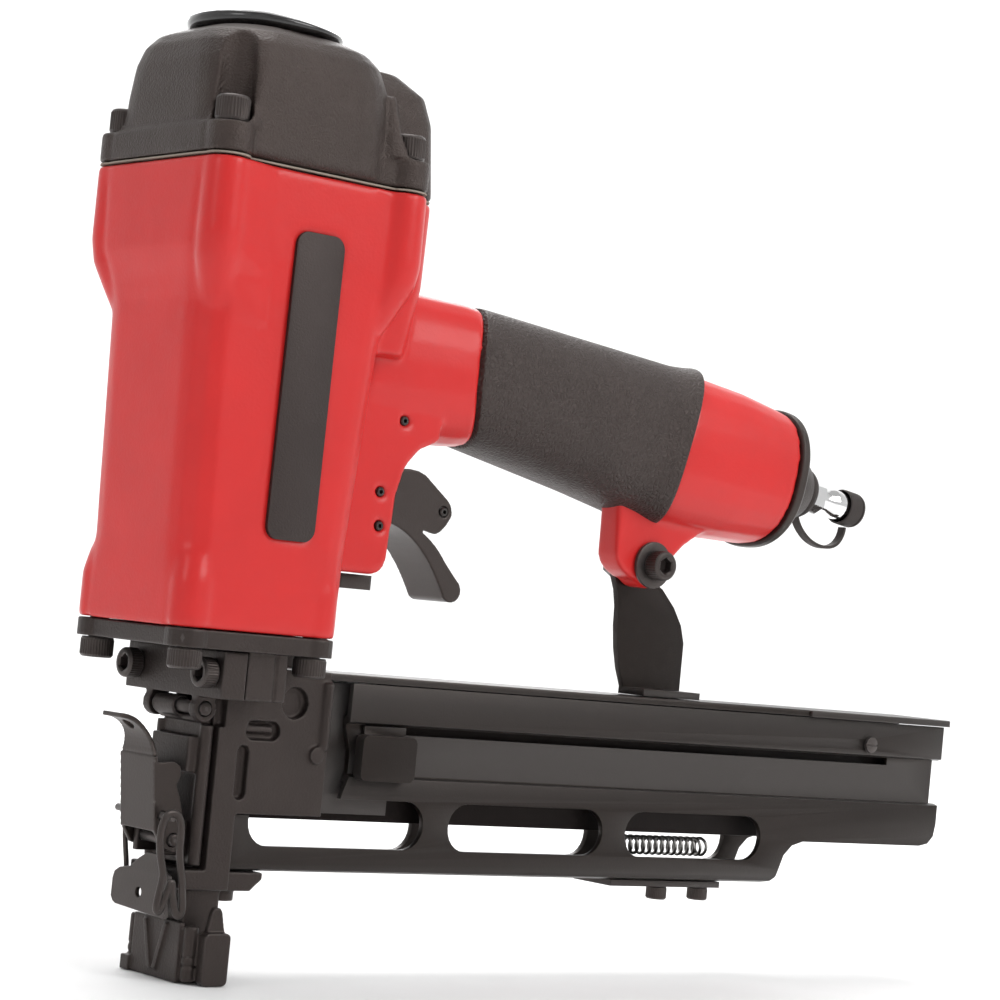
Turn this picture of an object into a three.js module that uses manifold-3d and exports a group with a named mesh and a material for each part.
// Pneumatic flooring nailer that drives long medium-crown staples.
// Millimetres, +Z up along the driver, +X towards the magazine's tail, -Y the pusher knob's side.
// Pieces are placed about the drive axis (x = 0, y = 0) with the foot's sole at z = 0, and the last group
// moves them all along X, so that the origin is the middle of the foot's front contact edge.
import * as THREE from "three";
import { mergeVertices } from "three/addons/utils/BufferGeometryUtils.js";
import Module from "manifold-3d";

const wasm = await Module();
wasm.setup();

// Driving dimensions
const gap = 0.3; // between pieces that touch
const soleFrontX = -5.8; // middle of the foot's front wall
const plateBottom = 97.8; // nose flange
const plateTop = 103.2;
const bodyBottom = plateTop + gap;
const bodyTop = 238;
const capBottom = 239.1;
const capTop = 279.6;
const deflectorTop = 284.2;
const boreRadius = 26; // bore of the housing, around the sleeve
const pistonRadius = 22;
const pistonBottom = 212; // at rest, at the top of its stroke
const bladeHalfThickness = 0.75;
const bladeHalfWidth = 6.2;
const bladeTip = 93.5;
const topScrews = { front: -27.4, rear: 36.5, side: 28.4, ledge: 248 };
const flangeScrews = { front: -22, rear: 22, side: 23.8 };
const handleStart = { x: 88, z: 189.6 }; // axis of the handle at its collar and at its end
const handleEnd = { x: 221, z: 171.8 };
const valveX = 58; // trigger valve
const triggerPivot = { x: 49, z: 149.4 };
const leverPivot = { x: 78.2, z: 145.9 };
const cheekHalfWidth = 15; // trigger valve housing
const pocketHalfWidth = 10.3;
const rodX = 42.5; // safety rod
const rodRadius = 2;
const magazineBottom = 32.7;
const magazineTop = 90.6;
const magazineTail = 317;
const magazineHalfWidth = 12;
const magazineRecess = 1.8; // depth of the middle band
const bandLow = 62.1;
const bandHigh = 78.9;
const railHalfWidth = 5.2;
const railBottom = 48;
const railTop = 88.5;
const nailBlockHalfWidth = 25.9;
const nailBlockBottom = 83.6;
const guideHalfWidth = 14;
const noseBottom = 9.5;
const hinge = { x: -6.5, z: 80 }; // front door
const latchPivot = { x: -10, z: 41 };
const bailPivot = { x: -14.6, z: 48 };
const bracketBolt = { x: 168, z: 137 };

// ---- solids ---------------------------------------------------------------

// A closed three.js geometry as a manifold solid, turned right side out if it came inside out.
function solid(geometry) {
  const bare = geometry.clone();
  bare.deleteAttribute("normal");
  bare.deleteAttribute("uv");
  const merged = mergeVertices(bare, 1e-4);
  const triVerts = new Uint32Array(merged.index.array);
  const vertProperties = new Float32Array(merged.attributes.position.array);
  let made = new wasm.Manifold(new wasm.Mesh({ numProp: 3, vertProperties, triVerts }));
  if (made.volume() < 0) {
    for (let i = 0; i < triVerts.length; i += 3)
      [triVerts[i + 1], triVerts[i + 2]] = [triVerts[i + 2], triVerts[i + 1]];
    made = new wasm.Manifold(new wasm.Mesh({ numProp: 3, vertProperties, triVerts }));
  }
  return made;
}

const join = (...parts) => parts.reduce((whole, part) => whole.add(part));
const cut = (base, ...tools) => tools.reduce((rest, tool) => rest.subtract(tool), base);
const both = (maker) => join(maker(-1), maker(1)); // the same piece on both sides

function box(x0, x1, y0, y1, z0, z1) {
  const made = new THREE.BoxGeometry(x1 - x0, y1 - y0, z1 - z0);
  return solid(made.translate((x0 + x1) / 2, (y0 + y1) / 2, (z0 + z1) / 2));
}

// A block that spans side * inner to side * outer across Y.
const sideBox = (side, x0, x1, inner, outer, z0, z1) =>
  box(x0, x1, Math.min(side * inner, side * outer), Math.max(side * inner, side * outer), z0, z1);

// A cylinder or cone of radius r0 at the start and r1 at the end, between two points.
function rod(from, to, r0, r1 = r0, segments = 20) {
  const start = new THREE.Vector3(...from);
  const along = new THREE.Vector3(...to).sub(start);
  const made = new THREE.CylinderGeometry(r1, r0, along.length(), segments);
  const turn = new THREE.Quaternion().setFromUnitVectors(
    new THREE.Vector3(0, 1, 0),
    along.clone().normalize(),
  );
  made.applyQuaternion(turn).translate(...start.addScaledVector(along, 0.5).toArray());
  return solid(made);
}

const crossRod = (x, z, y0, y1, r, segments) => rod([x, y0, z], [x, y1, z], r, r, segments);

// A ring about the Z axis through (x, y), between two radii and two heights.
const ring = (x, y, inner, outer, z0, z1, segments = 28) =>
  cut(
    rod([x, y, z0], [x, y, z1], outer, outer, segments),
    rod([x, y, z0 - 1], [x, y, z1 + 1], inner, inner, segments),
  );

// An outline drawn in X and Z, swept across Y.
function slabY(shape, y0, y1, curveSegments = 3) {
  const made = new THREE.ExtrudeGeometry(shape, {
    depth: y1 - y0,
    bevelEnabled: false,
    curveSegments,
  });
  return solid(made.rotateX(Math.PI / 2).translate(0, y1, 0));
}

// An outline drawn in Y and Z, swept along X.
function slabX(shape, x0, x1, curveSegments = 3) {
  const made = new THREE.ExtrudeGeometry(shape, {
    depth: x1 - x0,
    bevelEnabled: false,
    curveSegments,
  });
  const axes = new THREE.Matrix4().makeBasis(
    new THREE.Vector3(0, 1, 0),
    new THREE.Vector3(0, 0, 1),
    new THREE.Vector3(1, 0, 0),
  );
  return solid(made.applyMatrix4(axes).translate(x0, 0, 0));
}

// An outline drawn in X and Y, swept up Z.
function slabZ(shape, z0, z1, curveSegments = 2) {
  const made = new THREE.ExtrudeGeometry(shape, {
    depth: z1 - z0,
    bevelEnabled: false,
    curveSegments,
  });
  return solid(made.translate(0, 0, z0));
}

const polygon = (points) => new THREE.Shape(points.map(([a, b]) => new THREE.Vector2(a, b)));

// A rectangle with round corners; with radius half its height it is a slot with round ends.
function roundedRect(x0, x1, y0, y1, r) {
  const shape = new THREE.Shape();
  shape.absarc(x1 - r, y0 + r, r, -Math.PI / 2, 0);
  shape.absarc(x1 - r, y1 - r, r, 0, Math.PI / 2);
  shape.absarc(x0 + r, y1 - r, r, Math.PI / 2, Math.PI);
  shape.absarc(x0 + r, y0 + r, r, Math.PI, 1.5 * Math.PI);
  return shape;
}

// A skin through rings of the same number of points, with a flat fan over each end.
function loft(rings) {
  const count = rings[0].length;
  const middle = (points) =>
    points.reduce((sum, p) => sum.add(p), new THREE.Vector3()).divideScalar(points.length);
  const points = [...rings.flat(), middle(rings[0]), middle(rings.at(-1))];
  const faces = [];
  for (let k = 0; k + 1 < rings.length; k++)
    for (let i = 0; i < count; i++) {
      const a = k * count + i;
      const b = k * count + ((i + 1) % count);
      faces.push(a, b, b + count, a, b + count, a + count);
    }
  const last = (rings.length - 1) * count;
  for (let i = 0; i < count; i++) {
    const next = (i + 1) % count;
    faces.push(points.length - 2, next, i);
    faces.push(points.length - 1, last + i, last + next);
  }
  const made = new THREE.BufferGeometry().setFromPoints(points);
  return solid(made.setIndex(faces));
}

// Levels of an upright casting: each level is a rectangle with round corners, symmetric across Y.
function upright(levels, cornerSegments = 2) {
  return loft(
    levels.map(({ z, front, rear, side, r }) =>
      roundedRect(front, rear, -side, side, r)
        .getPoints(cornerSegments)
        .slice(0, -1)
        .map((p) => new THREE.Vector3(p.x, p.y, z)),
    ),
  );
}

// A column of level circles about the Z direction, from its lowest ring [x, y, z, r] to its highest.
function column(rings, segments = 20) {
  const angles = Array.from({ length: segments }, (_, i) => (2 * Math.PI * i) / segments);
  return loft(
    rings.map(([x, y, z, r]) =>
      angles.map((a) => new THREE.Vector3(x + r * Math.cos(a), y + r * Math.sin(a), z)),
    ),
  );
}

// ---- handle frame -----------------------------------------------------------

const handleLength = Math.hypot(handleEnd.x - handleStart.x, handleEnd.z - handleStart.z);
const handleDirection = new THREE.Vector3(
  (handleEnd.x - handleStart.x) / handleLength,
  0,
  (handleEnd.z - handleStart.z) / handleLength,
);

// The point of the handle's axis at a distance past its end.
const pastEnd = (distance) =>
  new THREE.Vector3(handleEnd.x, 0, handleEnd.z).addScaledVector(handleDirection, distance);
const onAxis = (from, to, r0, r1, segments) =>
  rod(pastEnd(from).toArray(), pastEnd(to).toArray(), r0, r1, segments);

// Stations of the handle: an oval of exponent 2.4 between a top and a bottom height, that leans back by
// lean (in X per unit of Z) and whose sides reach forward by bow.
function handleLoft(stations, segments = 24) {
  return loft(
    stations.map(({ x, top, bottom, side, lean = 0, bow = 0 }) => {
      const middle = (top + bottom) / 2;
      const points = [];
      for (let i = 0; i < segments; i++) {
        const angle = (2 * Math.PI * i) / segments;
        const power = (value) => Math.sign(value) * Math.abs(value) ** (2 / 2.4);
        const y = side * power(Math.cos(angle));
        const rise = ((top - bottom) / 2) * power(Math.sin(angle));
        points.push(new THREE.Vector3(x + lean * rise - bow * (y / side) ** 2, y, middle + rise));
      }
      return points;
    }),
  );
}

// ---- materials and nodes ------------------------------------------------------

const finishes = {
  redPaint: { color: 0xc8302c, roughness: 0.45, metalness: 0 },
  blackCasting: { color: 0x2c2827, roughness: 0.55, metalness: 0.2 },
  blackSteel: { color: 0x24211f, roughness: 0.45, metalness: 0.5 },
  blackPlastic: { color: 0x2a2625, roughness: 0.65, metalness: 0 },
  glossBlack: { color: 0x0c0b0b, roughness: 0.2, metalness: 0 },
  gripRubber: { color: 0x322c2a, roughness: 0.85, metalness: 0 },
  sealRubber: { color: 0x1c1a1a, roughness: 0.8, metalness: 0 },
  paleGasket: { color: 0xb9b2a6, roughness: 0.9, metalness: 0 },
  brightSteel: { color: 0xc9c9cc, roughness: 0.25, metalness: 1 },
  chrome: { color: 0xdadadc, roughness: 0.08, metalness: 1 },
  aluminium: { color: 0xa9abad, roughness: 0.4, metalness: 0.9 },
  bumperRubber: { color: 0x3a3f45, roughness: 0.8, metalness: 0 },
  inlay: { color: 0x2a2324, roughness: 0.5, metalness: 0 },
};

const nailer = new THREE.Group();
nailer.position.x = -soleFrontX;

function add(name, made, finish) {
  const { numProp, vertProperties, triVerts } = made.getMesh();
  const positions = new Float32Array((vertProperties.length / numProp) * 3);
  for (let i = 0; i < positions.length / 3; i++)
    positions.set(vertProperties.subarray(i * numProp, i * numProp + 3), i * 3);
  const geometry = new THREE.BufferGeometry()
    .setAttribute("position", new THREE.BufferAttribute(positions, 3))
    .setIndex(new THREE.BufferAttribute(triVerts, 1));
  const mesh = new THREE.Mesh(geometry, new THREE.MeshStandardMaterial(finishes[finish]));
  mesh.name = name;
  nailer.add(mesh);
}

// A socket screw: cylinder head with a hex socket, and a plain shank, along the line from its head's
// outer face to its tip.
function socketScrew(face, tip, headRadius, headHeight, shankRadius) {
  const start = new THREE.Vector3(...face);
  const along = new THREE.Vector3(...tip).sub(start).normalize();
  const at = (distance) => start.clone().addScaledVector(along, distance).toArray();
  return cut(
    join(
      rod(face, at(headHeight), headRadius, headRadius, 16),
      rod(at(headHeight / 2), tip, shankRadius, shankRadius, 10),
    ),
    rod(at(-1), at(headHeight * 0.55), headRadius * 0.5, headRadius * 0.5, 6),
  );
}

// ---- main housing ---------------------------------------------------------------

const topBosses = [];
for (const x of [topScrews.front, topScrews.rear])
  for (const side of [-1, 1]) topBosses.push([x, side * topScrews.side]);
const flangeBosses = [];
for (const x of [flangeScrews.front, flangeScrews.rear])
  for (const side of [-1, 1]) flangeBosses.push([x, side * flangeScrews.side]);

const bodyLevels = [
  { z: bodyBottom, front: -28.3, rear: 29.6, side: 29.4, r: 9 },
  { z: 119, front: -28.3, rear: 31, side: 29.6, r: 10 },
  { z: 128, front: -28, rear: 32, side: 29.8, r: 12 },
  { z: 197, front: -30, rear: 37, side: 30.4, r: 12 },
  { z: 204, front: -31.4, rear: 37.8, side: 30.7, r: 11 },
  { z: 213, front: -33.8, rear: 38.8, side: 31.1, r: 9 },
  { z: bodyTop, front: -34.2, rear: 41, side: 31.6, r: 8 },
];
const lobe = { front: 20, rear: 55, side: 23, r: 8 }; // air passage behind the cylinder

function housingCasting() {
  const topBoss = ([x, y]) =>
    column([
      [x * 0.8, y * 0.78, 190, 4],
      [x * 0.9, y * 0.88, 200, 5.4],
      [x * 0.98, y * 0.97, 209, 6.6],
      [x, y, 216, 6.9],
      [x, y, bodyTop, 6.9],
    ]);
  // the side wall swells gently up to the front boss
  const ramp = (side) =>
    loft(
      [[192, 29.6, -22], [205, 31.4, -25], [214, 34.6, -27.4], [bodyTop, 35.1, -27.4]].map(([z, out, x]) =>
        [[x, 20], [-6, 20], [-10, 30.6], [x, out]].map(([px, py]) => new THREE.Vector3(px, side * py, z)),
      ),
    );
  const lowBoss = ([x, y]) =>
    column([
      [x, y, bodyBottom, 6.5],
      [x, y, 117, 6.5],
      [x * 0.96, y * 0.96, 124, 6],
      [x * 0.84, y * 0.86, 134, 4.4],
    ]);
  const lobeColumn = upright([
    { z: 190, ...lobe, rear: 50 },
    { z: 212, ...lobe, rear: 54.4 },
    { z: bodyTop, ...lobe },
  ]);
  const handle = handleLoft([
    { x: 40, top: 214, bottom: 166, side: 17 },
    { x: 80, top: 212.7, bottom: 166.6, side: 18.4 },
    { x: 88, top: 211.8, bottom: 167.3, side: 19, bow: 8 },
    { x: 88.2, top: 209, bottom: 170, side: 16.4, bow: 8 },
    { x: 176, top: 200.4, bottom: 154.6, side: 18, lean: 0.25, bow: 8 },
    { x: 176.3, top: 202.8, bottom: 150.4, side: 21, lean: 0.25, bow: 8 },
    { x: 200, top: 199.6, bottom: 148.4, side: 21.5, lean: 0.2 },
    { x: handleEnd.x, top: 195.4, bottom: 148.2, side: 21.5, lean: 0.158 },
  ]);
  const valveHousing = new THREE.Shape();
  valveHousing.moveTo(25, 124);
  valveHousing.lineTo(49, 124);
  valveHousing.quadraticCurveTo(53.4, 124.5, 53.8, 129);
  valveHousing.lineTo(55.2, 149);
  valveHousing.quadraticCurveTo(57, 164, 70, 167);
  valveHousing.lineTo(70, 190);
  valveHousing.lineTo(25, 190);
  const lug = new THREE.Shape();
  lug.moveTo(151.5, 160.5);
  lug.lineTo(152.4, 139);
  lug.quadraticCurveTo(153.4, 134.6, 160, 132);
  lug.absarc(bracketBolt.x, bracketBolt.z, 8, 1.23 * Math.PI, 2 * Math.PI);
  lug.quadraticCurveTo(178, 142.6, 190, 149.6);
  lug.lineTo(190, 160.5);
  return join(
    upright(bodyLevels),
    ...topBosses.map(topBoss),
    both(ramp),
    ...flangeBosses.map(lowBoss),
    lobeColumn,
    handle,
    slabY(valveHousing, -cheekHalfWidth, cheekHalfWidth),
    slabY(lug, -9, 1),
  );
}

const inlayTilt = Math.atan2(1.3, 95); // lean of the body's flat side
function inlayPlate(thickness, margin, depth) {
  const outline = roundedRect(-8.5 - margin, 8.5 + margin, -45 - margin, 45 + margin, 4);
  const made = new THREE.ExtrudeGeometry(outline, {
    depth: thickness,
    bevelEnabled: false,
    curveSegments: 4,
  });
  made.rotateX(Math.PI / 2).translate(0, depth, 0).rotateX(inlayTilt).translate(6, -30.45, 176);
  return solid(made);
}

{
  const handleHollow = rod(
    [18, 0, handleStart.z + (handleStart.x - 18) * 0.134],
    pastEnd(4).toArray(),
    13.5,
  );
  const screwHoles = [
    ...topBosses.map(([x, y]) => rod([x, y, 213], [x, y, bodyTop + 1], 3.3, 3.3, 12)),
    ...flangeBosses.map(([x, y]) => rod([x, y, bodyBottom - 1], [x, y, 116.5], 3.3, 3.3, 12)),
  ];
  const housing = cut(
    housingCasting(),
    rod([0, 0, bodyBottom - 1], [0, 0, bodyTop + 1], boreRadius, boreRadius, 40),
    rod([0, 0, 207], [0, 0, bodyTop + 1], 29.3, 29.3, 40),
    box(20, 49, -14, 14, 205, bodyTop + 1),
    handleHollow,
    rod([valveX, 0, 150], [valveX, 0, 184], 7.3),
    box(rodX - 2.8, 90, -pocketHalfWidth, pocketHalfWidth, 118, 161.5),
    crossRod(triggerPivot.x, triggerPivot.z, -16, 16, 1.8, 12),
    crossRod(49.8, 139, -16, 16, 1.8, 12),
    crossRod(55.6, 171.9, -16, 16, 1.8, 12),
    crossRod(bracketBolt.x, bracketBolt.z, -12, 4, 3.3, 16),
    inlayPlate(3, gap, 1),
    ...screwHoles,
  );
  add("main_housing", housing, "redPaint");
}
add("badge_inlay", inlayPlate(1.3, 0, 0.75), "inlay");

// ---- cylinder, piston and head valve -------------------------------------------------

add(
  "cylinder_sleeve",
  join(ring(0, 0, 22.3, 25.5, 127.8, 236, 36), ring(0, 0, 22.3, 28.8, 231.5, 236, 36)),
  "aluminium",
);
add(
  "piston_bumper",
  cut(
    join(
      rod([0, 0, bodyBottom + gap], [0, 0, 120], 25.4, 25.4, 32),
      rod([0, 0, 120], [0, 0, 127.3], 25.4, 17, 32),
    ),
    rod([0, 0, 100], [0, 0, 130], 8.6),
  ),
  "bumperRubber",
);
add(
  "piston",
  cut(
    join(
      rod([0, 0, pistonBottom], [0, 0, 230], pistonRadius, pistonRadius, 36),
      rod([0, 0, 204], [0, 0, pistonBottom + 1], 8),
    ),
    box(-1.1, 1.1, -6.6, 6.6, 200, 211.6),
  ),
  "aluminium",
);
add(
  "driver_blade",
  box(-bladeHalfThickness, bladeHalfThickness, -bladeHalfWidth, bladeHalfWidth, bladeTip, 211.3),
  "brightSteel",
);
add(
  "head_valve",
  cut(
    join(rod([0, 0, 236.5], [0, 0, 244], 27.4, 27.4, 32), rod([0, 0, 244], [0, 0, 262], 10)),
    rod([0, 0, 230], [0, 0, 270], 6),
  ),
  "blackPlastic",
);
add("head_valve_spring", ring(0, 0, 10.6, 13.4, 244.4, 273.4, 24), "brightSteel");

// ---- cap, gasket and exhaust deflector --------------------------------------------------

const capOutline = (z, inset) => ({
  z,
  front: bodyLevels.at(-1).front + inset,
  rear: bodyLevels.at(-1).rear - inset,
  side: bodyLevels.at(-1).side - inset,
  r: 8,
});
{
  const foot = join(
    upright([capOutline(capBottom, 0), capOutline(topScrews.ledge, 0.3)]),
    ...topBosses.map(([x, y]) => rod([x, y, capBottom], [x, y, topScrews.ledge], 6.9)),
    ...topBosses.map(([x, y]) =>
      rod([x * 0.88, y * 0.9, topScrews.ledge - 1], [x * 0.82, y * 0.82, 266], 8.5, 5),
    ),
  );
  const dome = upright([
    { z: capBottom + 1, front: -32.9, rear: 33.4, side: 32.9, r: 15 },
    { z: 258, front: -32.3, rear: 32.9, side: 32.5, r: 16 },
    { z: 268, front: -31.6, rear: 32, side: 31.8, r: 17 },
    { z: 273.5, front: -30.3, rear: 30.6, side: 30.5, r: 18 },
    { z: 277, front: -27.8, rear: 28, side: 28, r: 18 },
    { z: capTop, front: -22.4, rear: 22.6, side: 22.6, r: 16 },
  ], 3);
  const rearLobe = upright([
    { z: capBottom, ...lobe },
    { z: 262, ...lobe, rear: 53, side: 22 },
    { z: 270, ...lobe, rear: 50.5, side: 20.5 },
    { z: 275.5, ...lobe, rear: 42, side: 17 },
  ]);
  const pockets = topBosses.map(([x, y]) =>
    join(
      rod([x, y, topScrews.ledge], [x, y, 290], 5.9),
      rod([x, y, topScrews.ledge + 9], [x * 0.97, y * 0.97, 290], 5.9),
    ),
  );
  const cap = cut(
    join(foot, dome, rearLobe),
    rod([0, 0, capBottom - 1], [0, 0, 273.7], 27.9, 27.9, 36),
    box(20, 48, -14, 14, capBottom - 1, 262),
    rod([0, 0, 270], [0, 0, capTop + 1], 3.3, 3.3, 12),
    ...[-1, 1].map((side) => rod([side * 13, 0, 270], [side * 13, 0, capTop + 1], 6, 6, 16)),
    ...pockets,
    ...topBosses.map(([x, y]) => rod([x, y, capBottom - 1], [x, y, 250], 3.3, 3.3, 12)),
  );
  add("cylinder_cap", cap, "blackPlastic");
  const sheet = join(
    upright([capOutline(bodyTop + gap, 0.2), capOutline(capBottom - gap, 0.2)]),
    ...topBosses.map(([x, y]) => rod([x, y, bodyTop + gap], [x, y, capBottom - gap], 6.6)),
    upright([
      { z: bodyTop + gap, ...lobe, rear: 54.7, side: 22.7 },
      { z: capBottom - gap, ...lobe, rear: 54.7, side: 22.7 },
    ]),
  );
  const gasket = cut(
    sheet,
    rod([0, 0, 230], [0, 0, 250], 29.3, 29.3, 36),
    box(20, 48, -14, 14, 230, 250),
    ...topBosses.map(([x, y]) => rod([x, y, 230], [x, y, 250], 3.3, 3.3, 12)),
  );
  add("cap_gasket", gasket, "paleGasket");
}
topBosses.forEach(([x, y], i) =>
  add(
    `cap_screw_${i + 1}`,
    socketScrew([x, y, topScrews.ledge + 7.6], [x, y, 214], 5, 7.3, 2.9),
    "blackSteel",
  ),
);
{
  const bottom = capTop + gap;
  const rim = join(
    rod([0, 0, bottom], [0, 0, deflectorTop - 2], 21.8, 23.5, 36),
    rod([0, 0, deflectorTop - 2], [0, 0, deflectorTop], 23.5, 21.8, 36),
  );
  const hollow = join(
    rod([0, 0, bottom - 1], [0, 0, deflectorTop - 2.2], 19.5, 19.5, 32),
    box(-35, -8, -9, 9, bottom - 1, deflectorTop - 3),
  );
  const hub = rod([0, 0, bottom], [0, 0, deflectorTop - 1.8], 6);
  const seat = rod([0, 0, deflectorTop - 1.8], [0, 0, deflectorTop + 1], 9.5);
  add(
    "exhaust_deflector",
    cut(join(cut(rim, hollow), hub), seat, rod([0, 0, 270], [0, 0, 290], 3.3, 3.3, 12)),
    "glossBlack",
  );
  add("deflector_screw", socketScrew([0, 0, deflectorTop], [0, 0, 271], 5.2, 1.5, 2.9), "blackSteel");
}

// ---- handle: grip, end cap, air plug and dust cap -----------------------------------------

{
  const outside = handleLoft([
    { x: 89, top: 212.1, bottom: 167, side: 19.2, bow: 8 },
    { x: 100, top: 211.2, bottom: 164.9, side: 19.4, bow: 8 },
    { x: 140, top: 207.3, bottom: 157.6, side: 20, lean: 0.12, bow: 8 },
    { x: 166, top: 204.6, bottom: 152.4, side: 20.8, lean: 0.25, bow: 8 },
    { x: 175, top: 205.2, bottom: 150, side: 22.6, lean: 0.25, bow: 8 },
    { x: 176.9, top: 205.4, bottom: 149.4, side: 23.2, lean: 0.25, bow: 8 },
  ]);
  const inside = handleLoft([
    { x: 70, top: 211.1, bottom: 169.1, side: 16.8, bow: 8 },
    { x: 88, top: 209.5, bottom: 169.5, side: 16.9, bow: 8 },
    { x: 175.8, top: 200.9, bottom: 154.1, side: 18.5, lean: 0.25, bow: 8 },
    { x: 176.01, top: 203.3, bottom: 150.1, side: 21.4, lean: 0.25, bow: 8 },
    { x: 190, top: 202.5, bottom: 149.3, side: 21.8, lean: 0.25, bow: 8 },
  ]);
  const lugSlot = box(150.6, 180, -9.6, 1.6, 140, 162);
  add("grip_sleeve", cut(outside, inside, lugSlot), "gripRubber");
}
{
  const rimAt = (distance, top, bottom, side) => {
    const centre = pastEnd(distance);
    return { x: centre.x, top: centre.z + top, bottom: centre.z - bottom, side, lean: 0.158 };
  };
  const rim = handleLoft([
    rimAt(gap, 24.4, 24.2, 22.3),
    rimAt(3.6, 24.4, 24.2, 22.3),
    rimAt(5.6, 21, 21, 19.4),
    rimAt(9, 15.5, 15.5, 14.5),
  ]);
  add(
    "handle_end_cap",
    cut(join(rim, onAxis(8, 19.5, 14, 10.5)), onAxis(-1, 14, 10, 10), onAxis(13, 25, 5, 5, 16)),
    "blackCasting",
  );
  const nipple = join(
    onAxis(15, 26, 4.6, 4.6),
    onAxis(24.9, 31, 6.9, 6.9, 6),
    onAxis(30, 36, 3.9, 3.9),
    onAxis(35, 39, 3.9, 5.2),
    onAxis(38.5, 46, 5.2, 5.2),
  );
  add("air_plug", cut(nipple, onAxis(14, 50, 2, 2, 12)), "chrome");
  const collar = cut(onAxis(19.8, 24.6, 9.2, 9.2), onAxis(18, 26, 5, 5));
  const start = pastEnd(22.2);
  const end = pastEnd(47.6);
  const strap = new THREE.CatmullRomCurve3([
    start.clone().add(new THREE.Vector3(-0.8, 0, -8.6)),
    start.clone().add(new THREE.Vector3(0.6, 0, -11.5)),
    start.clone().add(new THREE.Vector3(5.5, 0, -16.2)),
    start.clone().add(new THREE.Vector3(13, 0, -18.6)),
    end.clone().add(new THREE.Vector3(-4.6, 0, -14.2)),
    end.clone().add(new THREE.Vector3(-1.6, 0, -9.4)),
    end.clone().add(new THREE.Vector3(-1.4, 0, -6.7)),
  ]);
  const section = polygon([[-0.7, -1.6], [0.7, -1.6], [0.7, 1.6], [-0.7, 1.6]]);
  const strapGeometry = new THREE.ExtrudeGeometry(section, { steps: 14, extrudePath: strap });
  add("cap_tether", join(collar, solid(strapGeometry)), "sealRubber");
  add(
    "dust_cap",
    cut(join(onAxis(43.5, 50, 6.3, 6.3), onAxis(50, 52, 6.3, 4.4)), onAxis(40, 46.4, 5.5, 5.5)),
    "sealRubber",
  );
}

// ---- trigger group ----------------------------------------------------------------------------

add(
  "trigger_valve_body",
  cut(
    rod([valveX, 0, 154], [valveX, 0, 178], 7),
    rod([valveX, 0, 150], [valveX, 0, 176], 2.3, 2.3, 12),
    crossRod(55.6, 171.9, -16, 16, 1.8, 12),
  ),
  "blackPlastic",
);
add("valve_stem", rod([valveX, 0, 149.2], [valveX, 0, 167.5], 1.9, 1.9, 12), "brightSteel");
add("valve_retaining_pin", crossRod(55.6, 171.9, -14.8, 14.8, 1.45, 12), "brightSteel");
add("trigger_pivot_pin", crossRod(triggerPivot.x, triggerPivot.z, -14.8, 14.8, 1.45, 12), "brightSteel");
add("rod_guide_pin", crossRod(49.8, 139, -14.8, 14.8, 1.45, 12), "brightSteel");
{
  const cheek = new THREE.Shape();
  cheek.moveTo(46, 146.4);
  cheek.lineTo(58, 142);
  cheek.lineTo(76, 138.6);
  cheek.quadraticCurveTo(79, 139.5, 81.6, 144.6);
  cheek.quadraticCurveTo(82, 147.4, 80, 149.4);
  cheek.lineTo(70, 156.6);
  cheek.quadraticCurveTo(66, 158.6, 60, 157.6);
  cheek.lineTo(46.4, 152.8);
  const finger = new THREE.Shape();
  finger.moveTo(56, 143.2);
  finger.quadraticCurveTo(70, 141.6, 78, 133.5);
  finger.quadraticCurveTo(83, 128, 87.4, 124);
  finger.absarc(84.4, 121.6, 3.7, 0.6, -2.4, true);
  finger.quadraticCurveTo(75, 131, 67, 136.5);
  finger.quadraticCurveTo(62, 139.8, 56, 140.8);
  const trigger = cut(
    join(slabY(cheek, 7.5, 9.4), slabY(cheek, -9.4, -7.5), slabY(finger, -9.4, 9.4, 8)),
    crossRod(triggerPivot.x, triggerPivot.z, -16, 16, 1.8, 12),
    crossRod(leverPivot.x, leverPivot.z, -16, 16, 1.8, 12),
  );
  add("trigger", trigger, "blackPlastic");
  const bar = polygon([
    [42.8, 146], [42.8, 144.3], [76, 143.4], [81, 144], [81, 148], [76, 149], [70, 146.6],
  ]);
  const lever = cut(
    slabY(bar, -6.5, 6.5),
    crossRod(leverPivot.x, leverPivot.z, -16, 16, 1.8, 12),
    box(46.6, 51.5, -20, 20, 146.4, 152),
  );
  add("contact_lever", lever, "brightSteel");
  add("contact_lever_pin", crossRod(leverPivot.x, leverPivot.z, -9.8, 9.8, 1.45, 12), "brightSteel");
}
add(
  "safety_rod_guide",
  cut(
    slabZ(roundedRect(rodX - 3, 53.5, -9.5, 9.5, 2), 119.2, 123.7),
    rod([rodX, 0, 110], [rodX, 0, 130], rodRadius + 0.35, rodRadius + 0.35, 16),
  ),
  "blackPlastic",
);

// ---- nose: flange casting, front plate, guide body ---------------------------------------------

{
  const driverSlot = box(-1.2, 1.2, -7, 7, 70, 120);
  const plate = join(
    slabZ(roundedRect(-26.6, 28.2, -29, 29, 9), plateBottom, plateTop),
    ...flangeBosses.map(([x, y]) => rod([x, y, plateBottom], [x, y, plateTop], 6.4)),
  );
  const block = box(-1, 13, -nailBlockHalfWidth, nailBlockHalfWidth, nailBlockBottom, plateBottom + 1);
  const casting = cut(
    join(plate, block),
    driverSlot,
    box(0.9, 14, -guideHalfWidth - gap, guideHalfWidth + gap, 80, 93.5),
    ...flangeBosses.map(([x, y]) => rod([x, y, 90], [x, y, 110], 3.3, 3.3, 12)),
    ...[-20.2, 20.2].map((y) => rod([-5, y, 90.8], [10, y, 90.8], 2.6, 2.6, 12)),
    box(3.6, 4.6, -30, -25.2, 80, plateBottom),
    box(8.4, 9.4, -30, -25.2, 80, plateBottom),
  );
  add("nose_casting", casting, "blackCasting");
}
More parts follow.
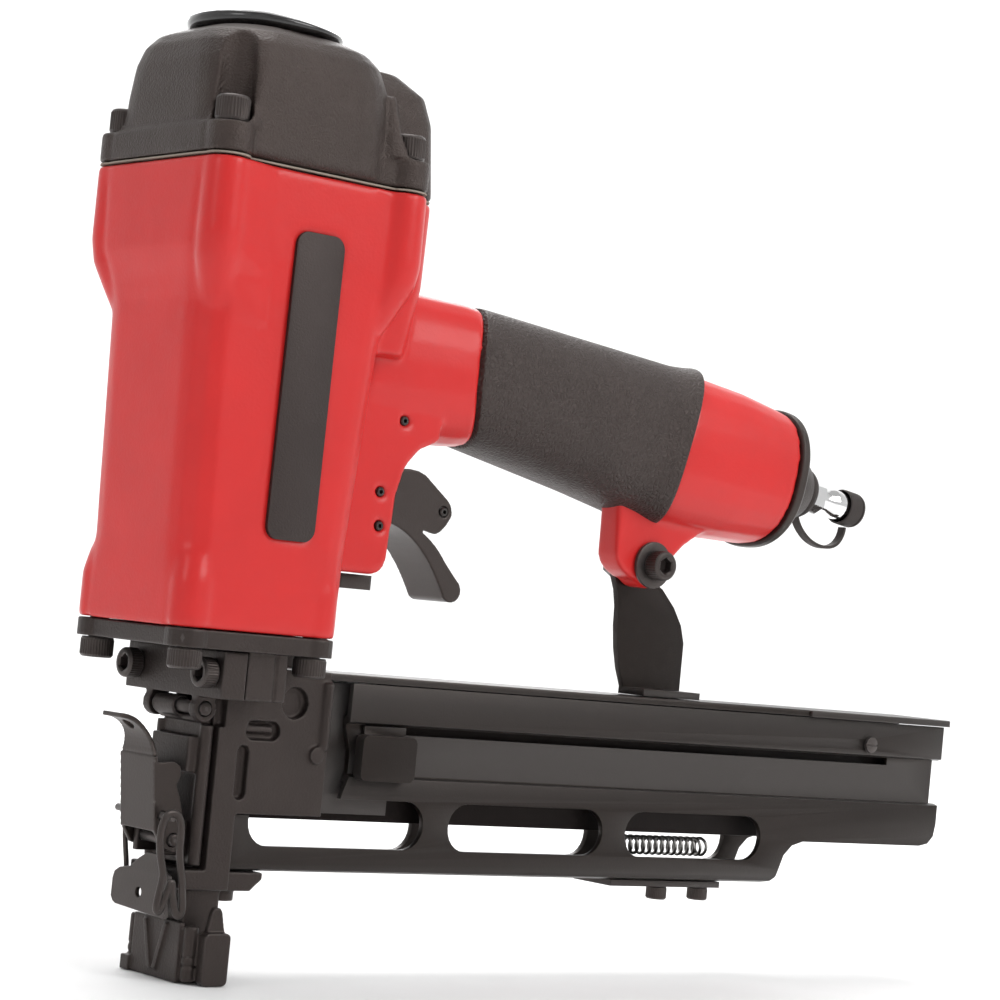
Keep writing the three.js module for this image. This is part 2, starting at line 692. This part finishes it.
flangeBosses.forEach(([x, y], i) =>
  add(
    `flange_screw_${i + 1}`,
    socketScrew([x, y, plateBottom - gap - 6], [x, y, 115.5], 5, 6, 2.9),
    "blackSteel",
  ),
);
{
  const ear = (side) =>
    join(
      sideBox(side, -9.5, -3.4, 10.8, 14, 79, nailBlockBottom + 1),
      crossRod(hinge.x, hinge.z, side * 10.8, side * 14, 3.9, 20),
    );
  const plate = cut(
    join(
      box(-9.5, -1.3, -nailBlockHalfWidth, nailBlockHalfWidth, nailBlockBottom, plateBottom - gap),
      both(ear),
    ),
    ...[-20.2, 20.2].map((y) => rod([-12, y, 90.8], [5, y, 90.8], 2.6, 2.6, 12)),
    crossRod(hinge.x, hinge.z, -20, 20, 2.3, 16),
  );
  add("front_plate", plate, "blackCasting");
  [-1, 1].forEach((side) =>
    add(
      side < 0 ? "front_plate_screw_near" : "front_plate_screw_far",
      socketScrew([-14.6, side * 20.2, 90.8], [8, side * 20.2, 90.8], 4.5, 4.8, 2.3),
      "blackSteel",
    ),
  );
}
{
  const tipHalfWidth = 10;
  const shoulder = 27; // the foot slides below this level
  const feedSlot = box(1, 60, -8.4, 8.4, 36, magazineTop);
  const walls = (side) => sideBox(side, 7.9, 39, 8.6, guideHalfWidth, 49.8, magazineTop);
  const roof = box(7.9, 38.2, -guideHalfWidth, guideHalfWidth, magazineTop, 93.2);
  const sideRail = (side) =>
    join(
      sideBox(side, -0.8, 1.3, 10.6, guideHalfWidth, shoulder, 75),
      sideBox(side, -1.1, 1.3, 6.9, tipHalfWidth, noseBottom, shoulder + 1),
      sideBox(side, -1.1, 1.3, 6.9, 10.7, shoulder, nailBlockBottom - gap),
    );
  const nose = join(
    box(1.2, 8, -guideHalfWidth, guideHalfWidth, shoulder, 93.2),
    box(1.2, 8, -tipHalfWidth, tipHalfWidth, noseBottom, shoulder + 1),
    box(-9, -1.4, -guideHalfWidth, guideHalfWidth, shoulder, 33),
    box(-4.4, -1.4, -tipHalfWidth, tipHalfWidth, noseBottom, shoulder + 1),
    both((side) => sideBox(side, -1.5, 1.3, 6.9, tipHalfWidth, noseBottom, 33)),
    both((side) => sideBox(side, -1.5, 1.3, 6.9, guideHalfWidth, shoulder, 33)),
    box(7.9, 21.5, -11.6, 11.6, 26.8, magazineBottom - gap),
    rod([11, -5, 23.4], [11, -5, 27], 4.2),
  );
  const rib = (side) => rod([37, side * guideHalfWidth, 70], [37, side * guideHalfWidth, 90], 1.9, 1.9, 12);
  const boss = (side) => crossRod(34.5, 68.2, side * 13, side * 15.4, 2.6, 16);
  const body = cut(
    join(nose, both(sideRail), both(walls), roof, both(rib), both(boss)),
    feedSlot,
    crossRod(25.5, 83.4, -16, -11.4, 4.8, 20),
    slabY(roundedRect(8.6, 21, 71.8, 77.4, 2.7), -16, -11.4),
    slabY(roundedRect(6.4, 10.6, 54, 70, 2), -16, -11.4),
    slabY(polygon([[17.5, 20], [17.5, 26.9], [21.6, 30.6], [24, 30.6], [24, 20]]), -20, 20),
    both((side) => sideBox(side, 8, 14, 13.9, 20, 77, 84)),
  );
  const slotBar = rod([8.2, -12.5, 75], [18.4, -12.5, 75], 1.2, 1.2, 10);
  add("guide_body", join(body, slotBar), "blackCasting");
}

// ---- front door and its latch --------------------------------------------------------------------

{
  const half = 10.2;
  const ear = (side) => sideBox(side, -13.1, -4, 5.2, 7.4, 36.4, 46);
  const door = cut(
    join(
      box(-4.5, -1.5, -half, half, 33.8, 77),
      crossRod(hinge.x, hinge.z, -1.5, half, 3.2, 20),
      box(-6.5, -2.6, -half, half, 76, 80),
      box(-8.4, -4, -half, half, 61, 71.6),
      both((side) => rod([-3.7, side * 11.5, 34.2], [-3.7, side * 11.5, 75.2], 2, 2, 14)),
      both(ear),
    ),
    crossRod(hinge.x, hinge.z, -20, 20, 2.3, 16),
    crossRod(latchPivot.x, latchPivot.z, -20, 20, 2.1, 16),
    slabY(polygon([[-14, 47], [-14, 42.5], [-10, 47]]), -9, 9),
  );
  add("front_door", door, "blackCasting");
  add("door_hinge_pin", crossRod(hinge.x, hinge.z, -14.6, 14.6, 1.95, 16), "blackSteel");
}
{
  const sheet = 1.4;
  const web = polygon([
    [-16.8, 43.3],
    [-19.4, 65],
    [-19.4 + sheet, 65],
    [-16.8 + sheet, 43.3],
  ]);
  const flange = polygon([
    [-16.6, 43.3],
    [-19.1, 63.2],
    [-12.2, 63.8],
    [-9.8, 62.6],
    [-9.4, 60],
    [-10.6, 57],
    [-9, 53.5],
    [-6.6, 46],
    [-6.6, 38.6],
    [-9.6, 37.4],
    [-13.6, 38.6],
  ]);
  const tabRadius = 9.4;
  const tab = new THREE.Shape();
  tab.moveTo(-19.4, 62);
  tab.absarc(-19.4 - tabRadius, 66, tabRadius, 0, 0.52 * Math.PI);
  tab.absarc(-19.4 - tabRadius, 66, tabRadius + sheet, 0.52 * Math.PI, 0, true);
  tab.lineTo(-19.4 + sheet, 62);
  const tabTaper = polygon([
    [-9.3, 60], [9.3, 60], [8.6, 66], [5.4, 73], [4.6, 80], [-4.6, 80], [-5.4, 73], [-8.6, 66],
  ]);
  const holeAngle = 0.3 * Math.PI;
  const holeAt = (radius) => [
    -19.4 - tabRadius + radius * Math.cos(holeAngle),
    0,
    66 + radius * Math.sin(holeAngle),
  ];
  const lever = cut(
    join(
      slabY(web, -9.3, 9.3),
      both((side) => slabY(flange, side === 1 ? 7.9 : -9.3, side === 1 ? 9.3 : -7.9)),
      slabY(tab, -11.5, 11.5, 6).intersect(slabX(tabTaper, -40, -10)),
    ),
    crossRod(latchPivot.x, latchPivot.z, -20, 20, 2.1, 16),
    crossRod(bailPivot.x, bailPivot.z, -20, 20, 1.4, 12),
    rod(holeAt(tabRadius - 3), holeAt(tabRadius + 4), 2, 2, 16),
  );
  add("latch_lever", lever, "blackSteel");
  add("latch_pivot_pin", crossRod(latchPivot.x, latchPivot.z, -10.4, 10.4, 1.75, 16), "blackSteel");
  const arm = new THREE.Shape();
  arm.moveTo(-17, 48);
  arm.quadraticCurveTo(-15, 52, -12.4, 50.5);
  arm.quadraticCurveTo(-10.2, 40, -9.4, 30);
  arm.lineTo(-9.8, 19);
  arm.quadraticCurveTo(-12, 17, -14, 19.4);
  arm.lineTo(-13.8, 30);
  arm.quadraticCurveTo(-15.6, 40, -17, 48);
  const bail = cut(
    join(
      crossRod(bailPivot.x, bailPivot.z, -15.2, 15.2, 1.1, 12),
      both((side) => slabY(arm, side === 1 ? 14.3 : -15.9, side === 1 ? 15.9 : -14.3)),
      box(-13.9, -12.3, -15, 15, 19, 33),
    ),
    slabY(polygon([[-16, 33.5], [-12, 33.5], [-12, 26], [-16, 26]]), 6, 14.2),
    rod([-16, -2, 25], [-10, -2, 25], 1.6, 1.6, 12),
  );
  add("latch_bail", bail, "blackSteel");
}

// ---- safety: foot, arm and spring ----------------------------------------------------------------------

{
  const ear = (side) =>
    join(
      slabY(roundedRect(-2.6, 6.4, 0, 15.4, 1.7), side > 0 ? 16.4 : -20.3, side > 0 ? 20.3 : -16.4),
      slabY(
        polygon([[-1.4, 14], [5.4, 14], [3.7, 21.4], [2.9, 22.6], [0.9, 22.6], [0.2, 21.4]]),
        side > 0 ? 16.4 : -18.6,
        side > 0 ? 18.6 : -16.4,
      ),
      sideBox(side, 1.6, 6.4, 12, 17, 1.4, 11),
    );
  // a guide pin with two ring grooves: height and radius of each step
  const pinSteps = [
    [0.6, 1.7], [1.2, 2.15], [4.6, 2.15], [4.9, 1.8], [5.5, 1.8], [5.8, 2.15],
    [7.2, 2.15], [7.5, 1.85], [8, 1.85], [8.3, 2.15], [16.2, 2.15], [16.8, 1.7],
  ];
  const pin = (side) => column(pinSteps.map(([z, r]) => [-4, side * 14.5, z, r]), 14);
  // the two front ribs run together downwards
  const rib = (side) => {
    const slope = [[side * 6.4, 16.4], [side * 4.6, 16.4], [side * 0.2, 2.4], [side * 2.2, 2.4]];
    return slabX(polygon(slope), -7.5, -6.5);
  };
  const wall = (side) => sideBox(side, -6.6, 10.6, 10.5, 12.4, 0, 12);
  const foot = join(
    box(-6.6, -5, -12.4, 12.4, 0, 17.4),
    both(wall),
    box(8.6, 10.6, -12.4, 12.4, 0, 12),
    both(ear),
    both(rib),
    both(pin),
    both((side) => sideBox(side, -5.2, -2.8, 11, 14, 1.6, 15)),
    box(-7.6, -4, 12, 16.4, 0, 4.4),
  );
  add("safety_foot", foot, "blackCasting");
  const y0 = 16.4;
  const y1 = 18.4;
  const arm = join(
    box(6.7, 14.4, y0, y1, 2, 64),
    box(6.7, 50, y0, y1, 56, 64),
    box(rodX - 4, 50, y0, y1, 56, 100),
    box(rodX - 4, rodX + 3, -2.3, y1, 97.6, 100),
    rod([rodX, 0, 98], [rodX, 0, 133.9], rodRadius, rodRadius, 12),
  );
  add("safety_arm", arm, "blackSteel");
  add("safety_spring", ring(rodX, 0, rodRadius + 0.4, 3.5, 100.4, 118.8, 20), "brightSteel");
}

// ---- magazine ------------------------------------------------------------------------------

const wall = 2;
{
  const outer = magazineHalfWidth;
  const inner = outer - magazineRecess;
  const right = [
    [outer - 2.4, magazineBottom],
    [outer - 0.7, magazineBottom + 0.7],
    [outer, magazineBottom + 2.4],
    [outer, bandLow],
    [inner, bandLow + 0.6],
    [inner, bandHigh - 0.6],
    [outer, bandHigh],
    [outer, magazineTop],
    [outer - wall, magazineTop],
    [outer - wall, bandHigh + wall],
    [inner - wall, bandHigh + wall - 0.6],
    [inner - wall, bandLow - wall + 0.6],
    [outer - wall, bandLow - wall],
    [outer - wall, magazineBottom + wall],
  ];
  const left = right.map(([y, z]) => [-y, z]).reverse();
  const profile = slabX(polygon([...right, ...left]), 8.4, magazineTail);

  const side = new THREE.Shape();
  side.moveTo(8.4, magazineBottom);
  side.lineTo(232, magazineBottom);
  side.quadraticCurveTo(237, magazineBottom, 238, 37);
  side.quadraticCurveTo(240, 46.5, 249, 47.3);
  side.lineTo(309, 47.3);
  side.quadraticCurveTo(magazineTail, 47.3, magazineTail, 55.3);
  side.lineTo(magazineTail, magazineTop + 1);
  side.lineTo(48, magazineTop + 1);
  side.lineTo(48, 77);
  side.quadraticCurveTo(53, 66, 47.6, 57);
  side.quadraticCurveTo(46.6, 50, 42, 49.4);
  side.lineTo(8.4, 49.4);
  const nearWindows = [
    [14, 80],
    [90, 155],
    [165, 228],
  ].map(([x0, x1]) => slabY(roundedRect(x0, x1, 40.3, 55.3, 7.4), -20, 0));
  const farWindows = [
    [14, 93],
    [105, 168],
    [181, 232],
  ].map(([x0, x1]) => slabY(roundedRect(x0, x1, 38, 55.3, 7.4), 0, 20));
  const channel = cut(
    profile.intersect(slabY(side, -20, 20)),
    ...nearWindows,
    ...farWindows,
    box(55, 290, -20, -5, bandHigh - 3.3, bandHigh - 0.7),
    box(magazineTail - 3, magazineTail + 2, -20, 20, bandLow + 0.6, bandHigh - 0.6),
    crossRod(278, 82.5, -20, 20, 1.95, 16),
    ...[188, 207].map((x) => rod([x, -5, 30], [x, -5, 36], 1.9, 1.9, 12)),
  );
  add("magazine_channel", channel, "blackSteel");
}
{
  const core = cut(
    box(2.6, 312, -railHalfWidth, railHalfWidth, railBottom, railTop),
    box(0, 320, -railHalfWidth + 1.6, railHalfWidth - 1.6, railBottom - 1, railTop - 1.6),
    crossRod(278, 82.5, -20, 20, 1.95, 16),
  );
  add("magazine_core_rail", core, "blackSteel");
}
add(
  "magazine_top_cover",
  join(
    box(38.6, 318, -12.5, 12.5, magazineTop + gap, 93.2),
    box(246, 318, -14, 14, magazineTop + gap, 93.2),
  ),
  "blackSteel",
);
add(
  "magazine_end_pin",
  cut(
    join(crossRod(278, 82.5, -12.6, 12, 1.6, 16), crossRod(278, 82.5, -13.6, -12.3, 2.8, 20)),
    box(270, 286, -14, -13.1, 82.1, 82.9),
  ),
  "blackSteel",
);
add(
  "spring_anchor_plate",
  cut(
    box(163, 213, -9.5, 9.5, 30.3, magazineBottom - gap),
    ...[188, 207].map((x) => rod([x, -5, 28], [x, -5, 36], 1.9, 1.9, 12)),
  ),
  "blackSteel",
);
[188, 207].forEach((x, i) =>
  add(`anchor_screw_${i + 1}`, socketScrew([x, -5, 25.8], [x, -5, 34.6], 3.5, 4.2, 1.6), "blackSteel"),
);
add(
  "pusher_spring",
  cut(rod([172, 0, 43.3], [212, 0, 43.3], 3.4, 3.4, 16), rod([170, 0, 43.3], [214, 0, 43.3], 2.2, 2.2, 12)),
  "brightSteel",
);
{
  const straddle = cut(
    box(3.6, 68, -7.8, 7.8, 50.4, magazineTop - 0.4),
    box(0, 80, -5.6, 5.6, 40, railTop + 0.4),
  );
  const knob = join(
    slabY(roundedRect(50.4, 71.2, 61.4, 75.4, 2.2), -16.6, -12.4),
    box(52, 70, -13, -10.6, 63.4, 75),
    box(56, 67.6, -10.8, -7, 76, 77.9),
    box(54, 70, -11.7, -10.6, 74, 77.9),
  );
  add("pusher", join(straddle, knob), "blackSteel");
}

// ---- rear bracket ----------------------------------------------------------------------------

{
  const strap = new THREE.Shape();
  strap.absarc(bracketBolt.x, bracketBolt.z, 7.6, 0, Math.PI);
  strap.lineTo(161.4, 133);
  strap.quadraticCurveTo(165.4, 126, 165, 116);
  strap.quadraticCurveTo(166, 104, 170.2, 96);
  strap.lineTo(170.2, 93.5);
  strap.lineTo(196, 93.5);
  strap.lineTo(196, 112);
  strap.quadraticCurveTo(194.6, 121, 184, 129.6);
  strap.quadraticCurveTo(176, 133, 175.6, bracketBolt.z);
  const bracket = cut(
    join(slabY(strap, 1.3, 3.8), box(170.2, 196, -9, 3.8, 93.5, 95.8)),
    crossRod(bracketBolt.x, bracketBolt.z, -5, 8, 3.3, 16),
  );
  add("rear_bracket", bracket, "blackSteel");
  const at = (y) => [bracketBolt.x, y, bracketBolt.z];
  const washer = cut(rod(at(-10.8), at(-9.3), 7.8, 7.8, 32), rod(at(-12), at(-8), 3.3, 3.3, 16));
  add("bracket_washer", washer, "blackSteel");
  add("bracket_screw", socketScrew(at(-16.8), at(12.6), 4.9, 5.7, 2.95), "blackSteel");
  const nut = cut(rod(at(4.1), at(9.4), 5.6, 5.6, 6), rod(at(3), at(11), 3.25, 3.25, 16));
  add("bracket_nut", nut, "blackSteel");
}

export default nailer;
